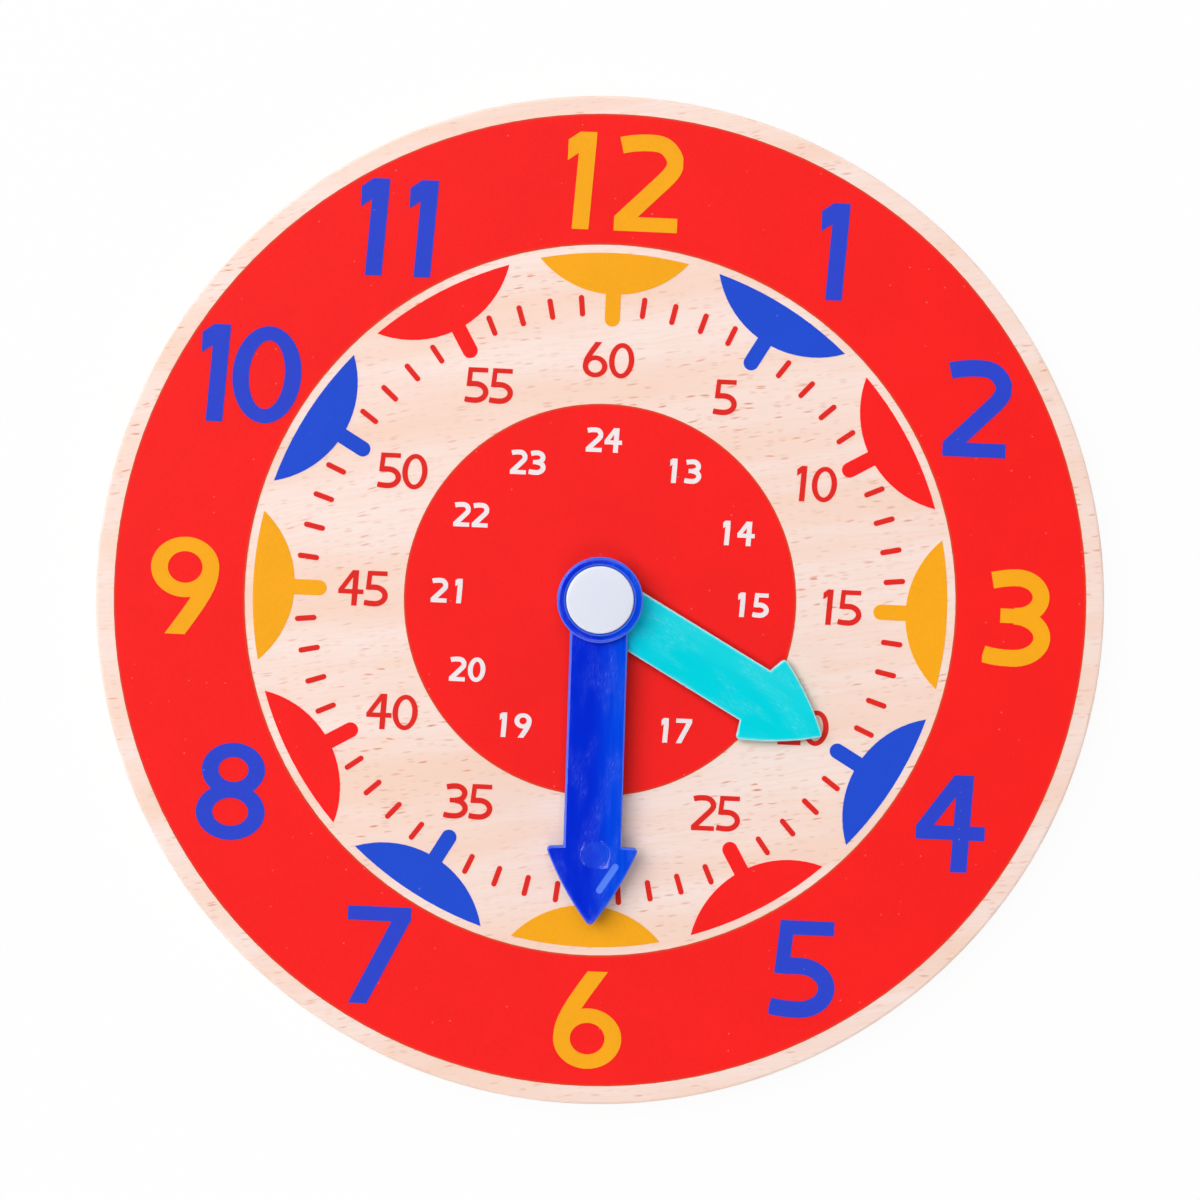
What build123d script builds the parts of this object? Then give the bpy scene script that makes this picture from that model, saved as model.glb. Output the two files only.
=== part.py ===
"""Wooden teaching clock: a printed plywood board with two hands that turn on one snap rivet.

Millimetres. The board lies on its back with the origin at the centre of its back face,
+Z out of the dial and +Y towards the 12. Angles on the dial run clockwise from the 12.
"""

import os
from math import cos, radians, sin

from build123d import *

# ---- Board ---------------------------------------------------------------------------------
board_diameter = 142.0
board_thickness = 5.0
board_edge_radius = 0.7
recess_depth = 1.9  # counterbore behind, which takes the rivet socket's flange

# ---- Print: rings, leaves and ticks, from the rim inwards ------------------------------------
ink_thickness = 0.06
rim_margin = 2.6  # bare wood outside the hour ring
hour_ring_width = 18.4
marker_gap = 1.15  # bare wood between the hour ring and the five-minute leaves
leaf_arc_radius = 14.0
leaf_depth = 5.85
stem_length = 4.5
stem_width = 2.15
tick_length = 3.05
tick_width = 0.76
disc_gap = 3.3  # bare wood between the minute numerals and the centre disc
disc_hole_margin = 0.3

# ---- Print: numerals -------------------------------------------------------------------------
hour_numeral_height = 13.7
hour_numeral_stroke = 2.35
minute_numeral_height = 5.0
minute_numeral_stroke = 0.78
minute_numeral_inset = 5.1  # from the stems' inner ends to the middle of the numerals
day_numeral_height = 3.45
day_numeral_stroke = 0.68
day_numeral_inset = 6.0  # from the centre disc's edge to the middle of the numerals

# How far each numeral is set from its even place on its circle, by eye, keyed by its hour
hour_nudges = {
    1: (1.2, -0.9),
    2: (0.6, -0.4),
    3: (-0.45, 0),
    4: (-0.65, 0.35),
    5: (1.15, 0.6),
    6: (0.95, 0.1),
    7: (0.55, 0),
    8: (0.6, 0.45),
    9: (0.65, -0.5),
    10: (0.9, 0),
    11: (-1.0, -0.2),
    12: (0.9, -0.35),
}
minute_nudges = {
    1: (-0.35, 0.3),
    2: (0.85, 0.9),
    3: (0.7, 0.4),
    4: (0.45, 0),
    5: (0.9, -0.35),
    6: (0, 0),
    7: (-0.6, -0.2),
    8: (0.4, -0.3),
    9: (0.05, 0.2),
    10: (0.4, 0.2),
    11: (-0.2, 0.5),
    12: (-0.25, 0.35),
}
day_nudges = {
    1: (0.45, -0.1),
    2: (0.4, -0.6),
    3: (0, 0.2),
    4: (0, 0),
    5: (0.75, 0.8),
    6: (0, 0),
    7: (-0.3, 0.6),
    8: (0.5, 0.25),
    9: (0, 0.4),
    10: (0.1, 0.4),
    11: (-0.15, 0.2),
    12: (-0.4, 0.9),
}

# ---- Rivet and washer ------------------------------------------------------------------------
pin_diameter = 4.0
pin_head_diameter = 9.4
pin_head_thickness = 1.1
pin_head_crown = 0.25
pin_barb_height = 0.2
pin_barb_length = 0.9
socket_wall = 1.4
socket_floor = 0.8
socket_flange_diameter = 13.0
socket_flange_thickness = 1.6
socket_edge_radius = 0.5
washer_diameter = 11.0
washer_thickness = 0.4

# ---- Hands -----------------------------------------------------------------------------------
hand_thickness = 1.4
hand_edge_radius = 0.25
hub_diameter = 12.0
hour_hub_height = 1.6
minute_hub_height = 2.7
cap_seat_depth = 0.7  # the minute hand's hub is dished, and the pin's head sits in the dish

hour_hand_angle = 119.1
hour_hand_length = 36.8
hour_head_length = 11.3
hour_blade_width = 8.2
hour_head_width = 13.1
hour_barb_sweep = 0.75  # how far forward the head's back edges slope

minute_hand_angle = 179.3
minute_hand_length = 45.7
minute_head_length = 11.35
minute_blade_width = 8.1
minute_head_width = 13.1
minute_barb_sweep = 0.1

head_bulge = 0.5  # how far the head's long sides bow outwards
barb_radius = 0.5
tip_radius = 0.5

# ---- Clearances ------------------------------------------------------------------------------
running_clearance = 0.05  # radial, hand on pin
stack_gap = 0.15  # between the washer, the hands and the pin's head
hole_clearance = 0.1  # radial, rivet socket in the board
recess_clearance = 0.4  # radial, socket flange in its counterbore
flush_inset = 0.3  # the flange lies this far inside the board's back face
tip_clearance = 0.3  # from the pin's end to the socket's floor
cap_clearance = 0.2  # radial, pin head in the minute hand's dish

# ---- Worked out from the sizes above ---------------------------------------------------------
hour_ring_outer = board_diameter / 2 - rim_margin
hour_ring_inner = hour_ring_outer - hour_ring_width
marker_outer = hour_ring_inner - marker_gap
leaf_foot = marker_outer - leaf_depth
stem_end = leaf_foot - stem_length
hour_numeral_radius = (hour_ring_outer + hour_ring_inner) / 2
minute_numeral_radius = stem_end - minute_numeral_inset
centre_disc_radius = minute_numeral_radius - minute_numeral_height / 2 - disc_gap
day_numeral_radius = centre_disc_radius - day_numeral_inset

socket_diameter = pin_diameter + 2 * socket_wall
board_hole_diameter = socket_diameter + 2 * hole_clearance
recess_diameter = socket_flange_diameter + 2 * recess_clearance
disc_hole_diameter = board_hole_diameter + 2 * disc_hole_margin
hand_bore_diameter = pin_diameter + 2 * running_clearance
cap_seat_diameter = pin_head_diameter + 2 * cap_clearance

print_top = board_thickness + ink_thickness
socket_floor_top = flush_inset + socket_floor
washer_top = print_top + washer_thickness
hour_hand_bottom = washer_top + stack_gap
minute_hand_bottom = hour_hand_bottom + hour_hub_height + stack_gap
minute_hub_top = minute_hand_bottom + minute_hub_height
pin_head_bottom = minute_hub_top - cap_seat_depth + stack_gap
pin_head_top = pin_head_bottom + pin_head_thickness
pin_end = socket_floor_top + tip_clearance

level = 0.86  # how heavy a numeral's level strokes are beside its upright ones
hours = range(1, 13)
yellow_hours = hours[2::3]


# ---- Numerals: drawn 1 mm tall, foot on the X axis, left edge on the Y axis -------------------
def stroked(*points, stroke):
    """A straight-sided figure: one pen line through the points."""
    with BuildSketch() as figure:
        with BuildLine():
            Polyline(*points)
        trace(line_width=stroke)
    return figure.sketch


def ring(centre, x_radius, y_radius, stroke, lean=0):
    """A closed oval, a little thinner at its top and foot than at its sides."""
    with BuildSketch() as figure:
        with Locations(centre):
            Ellipse(x_radius, y_radius, rotation=lean)
            Ellipse(x_radius - stroke, y_radius - level * stroke, rotation=lean, mode=Mode.SUBTRACT)
    return figure.sketch


def bowl(left, top, foot, right):
    """Pen line of a round bowl that is open to the left, from its foot to its top."""
    y_radius = (top - foot) / 2
    EllipticalCenterArc((left, foot + y_radius), right - left, y_radius, -90, arc_size=180)


def zero(stroke):
    return ring((0.36, 0.5), 0.355, 0.5, stroke, lean=-3)


def one(stroke):
    right = 0.205
    return stroked((-0.1, 0.735), (right, 0.955), (right - 0.055, -0.1), stroke=stroke)


def two(stroke):
    half = stroke / 2
    foot = level * half
    with BuildSketch() as figure:
        with BuildLine():
            lead = Spline((0.05, 0.965 - half), (0.33, 1 - half), tangents=((1, 0.25), (1, 0)))
            bow = Spline(
                lead @ 1,
                (0.53, 0.945 - half),
                (0.685 - half, 0.755),
                (0.5, 0.53),
                tangents=((1, 0), (-0.7, -0.72)),
            )
            Line(bow @ 1, (-0.06, -0.035))
        trace(line_width=stroke)
        add(stroked((0, foot), (0.65, foot), stroke=level * stroke))
    return figure.sketch


def three(stroke):
    half = stroke / 2
    waist = 0.52
    with BuildSketch() as figure:
        with BuildLine():
            Spline((0.075, 0.965 - half), (0.33, 1 - half), tangents=((1, 0.2), (1, 0)))
            bowl(0.33, 1 - half, waist, 0.665 - half)
        trace(line_width=stroke)
        with BuildLine():
            bowl(0.31, waist, half, 0.69 - half)
            Spline((0.31, half), (0.005, 0.035 + half), tangents=((-1, 0), (-1, 0.3)))
        trace(line_width=stroke)
        add(stroked((0.17, waist), (0.35, waist), stroke=level * stroke))
    return figure.sketch


def four(stroke):
    bar = 0.33 + level * stroke / 2
    with BuildSketch() as figure:
        add(stroked((0.9, bar), (0.045, bar), (0.49, 1.03), stroke=level * stroke))
        add(stroked((0.495, 1.1), (0.45, -0.1), stroke=stroke))
    return figure.sketch


def five(stroke):
    half = stroke / 2
    bar = 1 - level * half
    shoulder = 0.62 - half
    with BuildSketch() as figure:
        add(
            stroked(
                (0.64, bar),
                (0.07 + half, bar),
                (0.03 + half, shoulder - half),
                stroke=level * stroke,
            )
        )
        with BuildLine():
            Line((0.03 + half, shoulder), (0.3, shoulder))
            bowl(0.3, shoulder, half, 0.67 - half)
            Spline((0.3, half), (0.005, 0.03 + half), tangents=((-1, 0), (-1, 0.25)))
        trace(line_width=stroke)
    return figure.sketch


def six(stroke):
    half = stroke / 2
    with BuildSketch() as figure:
        add(ring((0.35, 0.31), 0.35, 0.31, stroke))
        with BuildLine():
            Spline((half, 0.31), (0.07 + half, 0.57), (0.47, 1.06), tangents=((0, 1), (0.55, 0.83)))
        trace(line_width=stroke)
    return figure.sketch


def seven(stroke):
    bar = 1 - level * stroke / 2
    with BuildSketch() as figure:
        add(stroked((0, bar), (0.65, bar), stroke=level * stroke))
        add(stroked((0.64, 1.05), (0.085, -0.1), stroke=stroke))
    return figure.sketch


def eight(stroke):
    with BuildSketch() as figure:
        add(ring((0.37, 0.725), 0.325, 0.275, stroke))
        add(ring((0.355, 0.29), 0.355, 0.29, stroke))
    return figure.sketch


def nine(stroke):
    return six(stroke).rotate(Axis((0.355, 0.5, 0), (0, 0, 1)), 180)


# Each figure with its width
figures = {
    "0": (zero, 0.72),
    "1": (one, 0.29),
    "2": (two, 0.685),
    "3": (three, 0.69),
    "4": (four, 0.71),
    "5": (five, 0.67),
    "6": (six, 0.71),
    "7": (seven, 0.65),
    "8": (eight, 0.71),
    "9": (nine, 0.71),
}
hour_gaps = {10: 0.03, 11: 0.21, 12: 0.21}
minute_gap = 0.02
minute_gap_by_one = 0.13
day_gap = 0.07
day_gap_by_one = 0.3


def number(text, height, stroke, gap):
    """A number centred on the origin, with a gap between its figures."""
    width = sum(figures[name][1] for name in text) + gap * (len(text) - 1)
    with BuildSketch() as row:
        left = -width / 2
        for name in text:
            draw, figure_width = figures[name]
            with BuildSketch(mode=Mode.PRIVATE) as figure:
                add(draw(stroke / height))
                with Locations((figure_width / 2, 0.5)):
                    Rectangle(figure_width, 1, mode=Mode.INTERSECT)
            with Locations((left, -0.5)):
                add(figure.sketch)
            left += figure_width + gap
        scale(by=height)
    return row.sketch


def numeral_place(radius, hour, nudges):
    """The middle of a numeral: on its circle in the direction of its hour, then nudged."""
    angle = radians(30 * hour)
    return (radius * sin(angle) + nudges[hour][0], radius * cos(angle) + nudges[hour][1])


# ---- Board -----------------------------------------------------------------------------------
with BuildPart() as dial_board:
    Cylinder(board_diameter / 2, board_thickness, align=(Align.CENTER, Align.CENTER, Align.MIN))
    fillet(dial_board.edges(), board_edge_radius)
    with Locations(Location((0, 0, 0), (180, 0, 0))):
        CounterBoreHole(board_hole_diameter / 2, recess_diameter / 2, recess_depth, board_thickness)
dial_board.part.label = "dial_board"

# ---- Print on the wood -------------------------------------------------------------------------
with BuildPart() as hour_ring:
    with BuildSketch(Plane.XY.offset(board_thickness)):
        Circle(hour_ring_outer)
        Circle(hour_ring_inner, mode=Mode.SUBTRACT)
    extrude(amount=ink_thickness)
hour_ring.part.label = "hour_ring"

with BuildPart() as centre_disc:
    with BuildSketch(Plane.XY.offset(board_thickness)):
        Circle(centre_disc_radius)
        Circle(disc_hole_diameter / 2, mode=Mode.SUBTRACT)
    extrude(amount=ink_thickness)
centre_disc.part.label = "centre_disc"

with BuildSketch() as leaf:
    with Locations((0, leaf_foot + leaf_arc_radius)):
        Circle(leaf_arc_radius)
    Circle(marker_outer, mode=Mode.INTERSECT)
    with Locations((0, leaf_foot - stem_length / 2 + stem_width / 2)):
        SlotCenterToCenter(stem_length, stem_width, rotation=90)


def markers(marked_hours):
    """Five-minute leaves with their stems, at some of the hours."""
    with BuildPart() as group:
        with BuildSketch(Plane.XY.offset(board_thickness)):
            for hour in marked_hours:
                with Locations(Location((0, 0, 0), (0, 0, -30 * hour))):
                    add(leaf.sketch)
        extrude(amount=ink_thickness)
    return group


yellow_markers = markers(yellow_hours)
yellow_markers.part.label = "yellow_markers"
blue_markers = markers(hours[0::3])
blue_markers.part.label = "blue_markers"
red_markers = markers(hours[1::3])
red_markers.part.label = "red_markers"

with BuildPart() as minute_ticks:
    with BuildSketch(Plane.XY.offset(board_thickness)):
        for minute in range(60):
            if minute % 5:
                with Locations(Location((0, 0, 0), (0, 0, -6 * minute))):
                    with Locations((0, leaf_foot - tick_length / 2)):
                        SlotOverall(tick_length, tick_width, rotation=90)
    extrude(amount=ink_thickness)
minute_ticks.part.label = "minute_ticks"

with BuildPart() as minute_numerals:
    with BuildSketch(Plane.XY.offset(board_thickness)):
        for hour in hours:
            text = str(5 * hour)
            gap = minute_gap_by_one if "1" in text else minute_gap
            with Locations(numeral_place(minute_numeral_radius, hour, minute_nudges)):
                add(number(text, minute_numeral_height, minute_numeral_stroke, gap))
    extrude(amount=ink_thickness)
minute_numerals.part.label = "minute_numerals"


# ---- Print on the red --------------------------------------------------------------------------
def hour_numerals(shown_hours):
    """Hour numerals, overprinted on the hour ring."""
    with BuildPart() as group:
        with BuildSketch(Plane.XY.offset(print_top)):
            for hour in shown_hours:
                gap = hour_gaps.get(hour, 0)
                with Locations(numeral_place(hour_numeral_radius, hour, hour_nudges)):
                    add(number(str(hour), hour_numeral_height, hour_numeral_stroke, gap))
        extrude(amount=ink_thickness)
    return group


yellow_hour_numerals = hour_numerals(yellow_hours)
yellow_hour_numerals.part.label = "yellow_hour_numerals"
blue_hour_numerals = hour_numerals([hour for hour in hours if hour not in yellow_hours])
blue_hour_numerals.part.label = "blue_hour_numerals"

with BuildPart() as day_numerals:
    with BuildSketch(Plane.XY.offset(print_top)):
        for hour in hours:
            text = str(12 + hour)
            gap = day_gap_by_one if "1" in text else day_gap
            with Locations(numeral_place(day_numeral_radius, hour, day_nudges)):
                add(number(text, day_numeral_height, day_numeral_stroke, gap))
    extrude(amount=ink_thickness)
day_numerals.part.label = "day_numerals"

# ---- Rivet and washer --------------------------------------------------------------------------
with BuildPart() as rivet_socket:
    with BuildSketch(Plane.XY.offset(flush_inset)):
        Circle(socket_flange_diameter / 2)
    extrude(amount=socket_flange_thickness)
    with BuildSketch(Plane.XY.offset(flush_inset)):
        Circle(socket_diameter / 2)
    extrude(amount=board_thickness - flush_inset)
    back_rim = rivet_socket.edges().filter_by(GeomType.CIRCLE).group_by(Axis.Z)[0]
    fillet(back_rim, socket_edge_radius)
    with BuildSketch(Plane.XZ):
        with BuildLine():
            Polyline(
                (0, socket_floor_top),
                (pin_diameter / 2, socket_floor_top),
                (pin_diameter / 2, pin_end),
                (pin_diameter / 2 + pin_barb_height, pin_end + pin_barb_length),
                (pin_diameter / 2, pin_end + pin_barb_length),
                (pin_diameter / 2, board_thickness),
                (0, board_thickness),
                close=True,
            )
        make_face()
    revolve(axis=Axis.Z, mode=Mode.SUBTRACT)
rivet_socket.part.label = "rivet_socket"

with BuildPart() as rivet_pin:
    with BuildSketch(Plane.XZ):
        with BuildLine():
            shaft = Polyline(
                (0, pin_head_top),
                (0, pin_end),
                (pin_diameter / 2, pin_end),
                (pin_diameter / 2 + pin_barb_height, pin_end + pin_barb_length),
                (pin_diameter / 2, pin_end + pin_barb_length),
                (pin_diameter / 2, pin_head_bottom),
                (pin_head_diameter / 2, pin_head_bottom),
                (pin_head_diameter / 2, pin_head_top - pin_head_crown),
            )
            TangentArc(shaft @ 0, shaft @ 1, tangent=(1, 0))
        make_face()
    revolve(axis=Axis.Z)
rivet_pin.part.label = "rivet_pin"

with BuildPart() as dial_washer:
    with BuildSketch(Plane.XY.offset(print_top)):
        Circle(washer_diameter / 2)
        Circle(hand_bore_diameter / 2, mode=Mode.SUBTRACT)
    extrude(amount=washer_thickness)
dial_washer.part.label = "dial_washer"


# ---- Hands -------------------------------------------------------------------------------------
def hand_outline(length, head_length, blade_width, head_width, barb_sweep):
    """A hand pointing along +Y: a straight blade, then an arrow head with bowed sides."""
    head_start = length - head_length
    barb = (head_width / 2, head_start + barb_sweep)
    with BuildSketch() as outline:
        with BuildLine():
            Polyline((0, 0), (blade_width / 2, 0), (blade_width / 2, head_start), barb)
            SagittaArc(barb, (0, length), -head_bulge)
            Line((0, length), (0, 0))
        make_face()
        mirror(about=Plane.YZ)
        tip = outline.vertices().sort_by(Axis.Y)[-1]
        fillet(tip, tip_radius)
        sides = outline.vertices().group_by(Axis.X)
        fillet(sides[0] + sides[-1], barb_radius)
    return outline.sketch


def pointing(angle):
    """Turned clockwise from the 12 about the pivot."""
    return Locations(Location((0, 0, 0), (0, 0, -angle)))


with BuildPart() as hour_hand:
    with BuildSketch(Plane.XY.offset(hour_hand_bottom)):
        with pointing(hour_hand_angle):
            add(
                hand_outline(
                    hour_hand_length,
                    hour_head_length,
                    hour_blade_width,
                    hour_head_width,
                    hour_barb_sweep,
                )
            )
    extrude(amount=hand_thickness)
    fillet(hour_hand.edges().group_by(Axis.Z)[-1], hand_edge_radius)
    with BuildSketch(Plane.XY.offset(hour_hand_bottom)):
        Circle(hub_diameter / 2)
    extrude(amount=hour_hub_height)
    Hole(hand_bore_diameter / 2)
hour_hand.part.label = "hour_hand"

with BuildPart() as minute_hand:
    with BuildSketch(Plane.XY.offset(minute_hand_bottom)):
        with pointing(minute_hand_angle):
            add(
                hand_outline(
                    minute_hand_length,
                    minute_head_length,
                    minute_blade_width,
                    minute_head_width,
                    minute_barb_sweep,
                )
            )
    extrude(amount=hand_thickness)
    fillet(minute_hand.edges().group_by(Axis.Z)[-1], hand_edge_radius)
    with BuildSketch(Plane.XY.offset(minute_hand_bottom)):
        Circle(hub_diameter / 2)
    extrude(amount=minute_hub_height)
    fillet(minute_hand.edges().group_by(Axis.Z)[-1], hand_edge_radius)
    with Locations((0, 0, minute_hub_top)):
        CounterBoreHole(hand_bore_diameter / 2, cap_seat_diameter / 2, cap_seat_depth)
minute_hand.part.label = "minute_hand"

# ---- Files -------------------------------------------------------------------------------------
os.makedirs("parts", exist_ok=True)
pieces = (
    dial_board,
    hour_ring,
    centre_disc,
    yellow_markers,
    blue_markers,
    red_markers,
    minute_ticks,
    minute_numerals,
    yellow_hour_numerals,
    blue_hour_numerals,
    day_numerals,
    rivet_socket,
    rivet_pin,
    dial_washer,
    hour_hand,
    minute_hand,
)
for piece in pieces:
    export_step(piece.part, f"parts/{piece.part.label}.step")
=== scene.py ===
"""Wooden teaching clock: the looks of a round dial board, its print, two hands and their rivet.

Lengths are in metres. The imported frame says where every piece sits. What is modelled here starts
from that, and from the settings below, which are the sizes and colours that a user would change.
"""

from math import cos, radians, sin, tan

import bmesh
import bpy
from bpy.props import FloatProperty, FloatVectorProperty, IntProperty, PointerProperty
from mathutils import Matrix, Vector


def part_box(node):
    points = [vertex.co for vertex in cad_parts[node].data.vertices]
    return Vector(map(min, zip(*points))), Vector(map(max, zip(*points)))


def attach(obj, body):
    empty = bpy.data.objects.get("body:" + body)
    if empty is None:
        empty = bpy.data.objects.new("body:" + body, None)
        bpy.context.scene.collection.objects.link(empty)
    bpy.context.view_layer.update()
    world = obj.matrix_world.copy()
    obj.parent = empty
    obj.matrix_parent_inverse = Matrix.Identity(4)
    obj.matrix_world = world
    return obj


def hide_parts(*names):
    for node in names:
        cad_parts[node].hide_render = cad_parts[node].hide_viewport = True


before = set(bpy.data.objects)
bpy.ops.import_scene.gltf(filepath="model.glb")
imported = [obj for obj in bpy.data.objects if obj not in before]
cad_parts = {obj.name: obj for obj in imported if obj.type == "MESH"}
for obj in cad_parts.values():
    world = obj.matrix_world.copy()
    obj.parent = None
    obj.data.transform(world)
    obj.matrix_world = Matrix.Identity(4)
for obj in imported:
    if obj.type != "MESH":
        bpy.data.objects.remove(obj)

bl_info = {
    "name": "Wooden Teaching Clock",
    "version": (1, 0, 0),
    "blender": (4, 5, 0),
    "location": "View3D > Sidebar > Clock",
    "description": "Models and finishes a printed wooden clock with two movable hands",
    "category": "Object",
}

MM = 0.001
SAME = 0.001 * MM  # places that are nearer than this are one place
HAIR = 0.01 * MM  # enough to be clear of a face, and too little to be seen
BOARD_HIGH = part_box("dial_board")[1]


# ---- Settings ----------------------------------------------------------------------------------
def srgb(*values):
    """A display colour, 0 to 255, as the linear colour that shaders work with."""
    shares = [value / 255 for value in values]
    return tuple(s / 12.92 if s <= 0.04045 else ((s + 0.055) / 1.055) ** 2.4 for s in shares)


def length(name, description, default):
    return FloatProperty(
        name=name, description=description, default=default, min=0, subtype="DISTANCE", unit="LENGTH"
    )


def offset(name, description, default):
    return FloatProperty(name=name, description=description, default=default, unit="LENGTH")


def number(name, description, default):
    return FloatProperty(name=name, description=description, default=default, min=0)


def angle(name, description, degrees):
    return FloatProperty(
        name=name, description=description, default=radians(degrees), subtype="ANGLE", unit="ROTATION"
    )


def colour(name, description, default):
    return FloatVectorProperty(
        name=name, description=description, default=default, min=0, max=1, size=3, subtype="COLOR"
    )


class BoardSettings(bpy.types.PropertyGroup):
    edge_radius: length("Edge radius", "Rounding of the board's two rims", 0.5 * MM)
    ply_count: IntProperty(name="Plies", description="Layers of veneer", default=5, min=1, max=9)
    glue_width: length("Glue line width", "Height of the groove between two plies", 0.12 * MM)
    glue_depth: length("Glue line depth", "How far sanding has sunk each groove", 0.04 * MM)
    hole_radius: length("Hole radius", "Hole for the rivet's socket", 3.5 * MM)
    recess_depth: length("Recess depth", "Counterbore for the socket's flange", 1.9 * MM)
    recess_clearance: length("Recess clearance", "Round the socket's flange", 0.4 * MM)
    grain_angle: angle("Grain angle", "Direction of the grain, from the 9-to-3 line", 10)
    pale: colour("Pale wood", "Colour of the palest bands", srgb(253, 231, 223))
    warm: colour("Warm wood", "Colour of the warmer bands", srgb(250, 214, 195))
    fleck: colour("Fleck", "Colour of the brown ray flecks", srgb(214, 142, 80))
    red_fleck: colour("Red fleck", "Colour of the redder ray flecks", srgb(226, 120, 88))
    cross_ply: colour("Cross ply", "Colour of the end grain in the wall", srgb(206, 168, 134))
    glue: colour("Glue", "Colour of the glue lines in the wall", srgb(150, 112, 82))


class PrintSettings(bpy.types.PropertyGroup):
    red: colour("Red ink", "Ring, disc and red leaves", srgb(255, 30, 28))
    line_red: colour("Fine red ink", "Minute strokes and numerals", srgb(232, 40, 32))
    yellow: colour("Yellow ink", "Yellow leaves and hours", srgb(255, 173, 22))
    blue: colour("Blue ink", "Blue leaves", srgb(30, 77, 214))
    blue_on_red: colour("Blue ink on red", "Blue hours", srgb(44, 70, 209))
    white: colour("White ink", "24-hour numerals", srgb(250, 238, 240))
    edge: colour("Ink edge", "Line where the ring or the disc ends", srgb(196, 88, 44))
    ring_inner: length("Ring's inside", "Inner radius of the hour ring", 50 * MM)


class HourHandSettings(bpy.types.PropertyGroup):
    colour: colour("Plastic", "Colour of the moulding", srgb(0, 218, 231))
    # Painted sheen: a lighter colour on one side of the blade, in place of the softbox reflected in the
    # sunk top
    painted_sheen_colour: colour("Thin plastic", "Lighter colour along one side", srgb(30, 221, 232))
    # Painted highlight on the rounded edges and walls; the same colour also lightens the rubbed patches
    marks_and_rim_highlight: colour("Rim", "Colour of the rounded edges", srgb(176, 240, 246))
    scuffs: number("Scuffs", "Strength of the rubbed patches", 0.07)
    turn: angle("Shown time", "Clockwise from the 12", 119.1)
    reach: length("Reach", "From the pivot to the tip", 36.8 * MM)
    head_length: length("Head length", "From the tip back to the blade", 11.3 * MM)
    blade_width: length("Blade width", "Width of the straight part", 8.2 * MM)
    head_width: length("Head width", "Across the barbs, before rounding", 13.1 * MM)
    barb_sweep: length("Barb sweep", "How far forward the barbs slope", 0.75 * MM)
    thickness: length("Thickness", "Thickness of the blade", 1.4 * MM)
    hub_slope: length("Hub slope", "How far the hub's top falls to its rim", 0.02 * MM)
    hub_edge: length("Hub edge", "Rounding of the hub's rim", 0.12 * MM)
    seat_depth: length("Seat depth", "Dish in the hub's top; this hub has none", 0)


class MinuteHandSettings(bpy.types.PropertyGroup):
    colour: colour("Plastic", "Colour of the moulding", srgb(0, 42, 217))
    # Painted sheen: a lighter colour on one side of the blade, in place of the softbox reflected in the
    # sunk top
    painted_sheen_colour: colour("Thin plastic", "Lighter colour along one side", srgb(0, 80, 236))
    # Painted highlight on the rounded edges and walls; the same colour also lightens the rubbed patches
    # and the ejector mark
    marks_and_rim_highlight: colour("Rim", "Colour of the rounded edges", srgb(66, 112, 242))
    scuffs: number("Scuffs", "Strength of the rubbed patches", 0.22)
    # Painted highlight: the softbox's reflection, painted in light blue on the gate's flat
    painted_gate_highlight: colour("Gate mark", "Colour of the flat left by the gate", srgb(98, 146, 255))
    turn: angle("Shown time", "Clockwise from the 12", 179.3)
    reach: length("Reach", "From the pivot to the tip", 45.7 * MM)
    head_length: length("Head length", "From the tip back to the blade", 11.35 * MM)
    blade_width: length("Blade width", "Width of the straight part", 8.1 * MM)
    head_width: length("Head width", "Across the barbs, before rounding", 13.1 * MM)
    barb_sweep: length("Barb sweep", "How far forward the barbs slope", 0.1 * MM)
    thickness: length("Thickness", "Thickness of the blade", 1.4 * MM)
    hub_slope: length("Hub slope", "How far the hub's top falls to its rim", 0.05 * MM)
    hub_edge: length("Hub edge", "Rounding of the hub's rim", 0.35 * MM)
    seat_depth: length("Seat depth", "Dish in the hub's top that holds the cap", 0.7 * MM)


class MouldingSettings(bpy.types.PropertyGroup):
    edge_radius: length("Edge radius", "Rounding of the hands' top edges", 0.35 * MM)
    bow: length("Bow", "How far the head's long sides bow outwards", 0.5 * MM)
    barb_radius: length("Barb radius", "Rounding of the barbs", 0.5 * MM)
    tip_radius: length("Tip radius", "Rounding of the tip", 0.5 * MM)
    sink: length("Sink", "How far the middle of a blade has sunk in cooling", 0.14 * MM)
    hub_radius: length("Hub radius", "Outside of the hubs", 6.0 * MM)
    seat_radius: length("Seat radius", "Flat middle of a hub's top, or its dish", 4.78 * MM)
    seat_edge: length("Seat edge", "Rounding of the dish's rim", 0.1 * MM)
    bore_radius: length("Bore radius", "Hole on the rivet", 2.05 * MM)
    mark_radius: length("Ejector mark radius", "Round mark in the minute hand's head", 2.05 * MM)
    mark_along: length("Ejector mark place", "From the pivot to the mark", 35.56 * MM)
    mark_aside: offset("Ejector mark offset", "From the blade's middle", -0.33 * MM)
    mark_groove: length("Ejector mark groove", "Radius of the mark's round groove", 0.25 * MM)
    mark_rise: length("Ejector mark rise", "Groove's axis, above the flat top", 0.13 * MM)
    gate_width: length("Gate width", "Long flat where the minute hand was gated", 1.04 * MM)
    gate_length: length("Gate length", "Length of that flat", 4.95 * MM)
    gate_along: length("Gate place", "From the pivot to the flat's middle", 38.8 * MM)
    gate_aside: offset("Gate offset", "From the blade's middle", -2.22 * MM)
    gate_depth: length("Gate depth", "Below the top of the hand", 0.2 * MM)
    gate_lean: angle("Gate lean", "Turn of the flat, along the head's side", -32.5)


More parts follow.
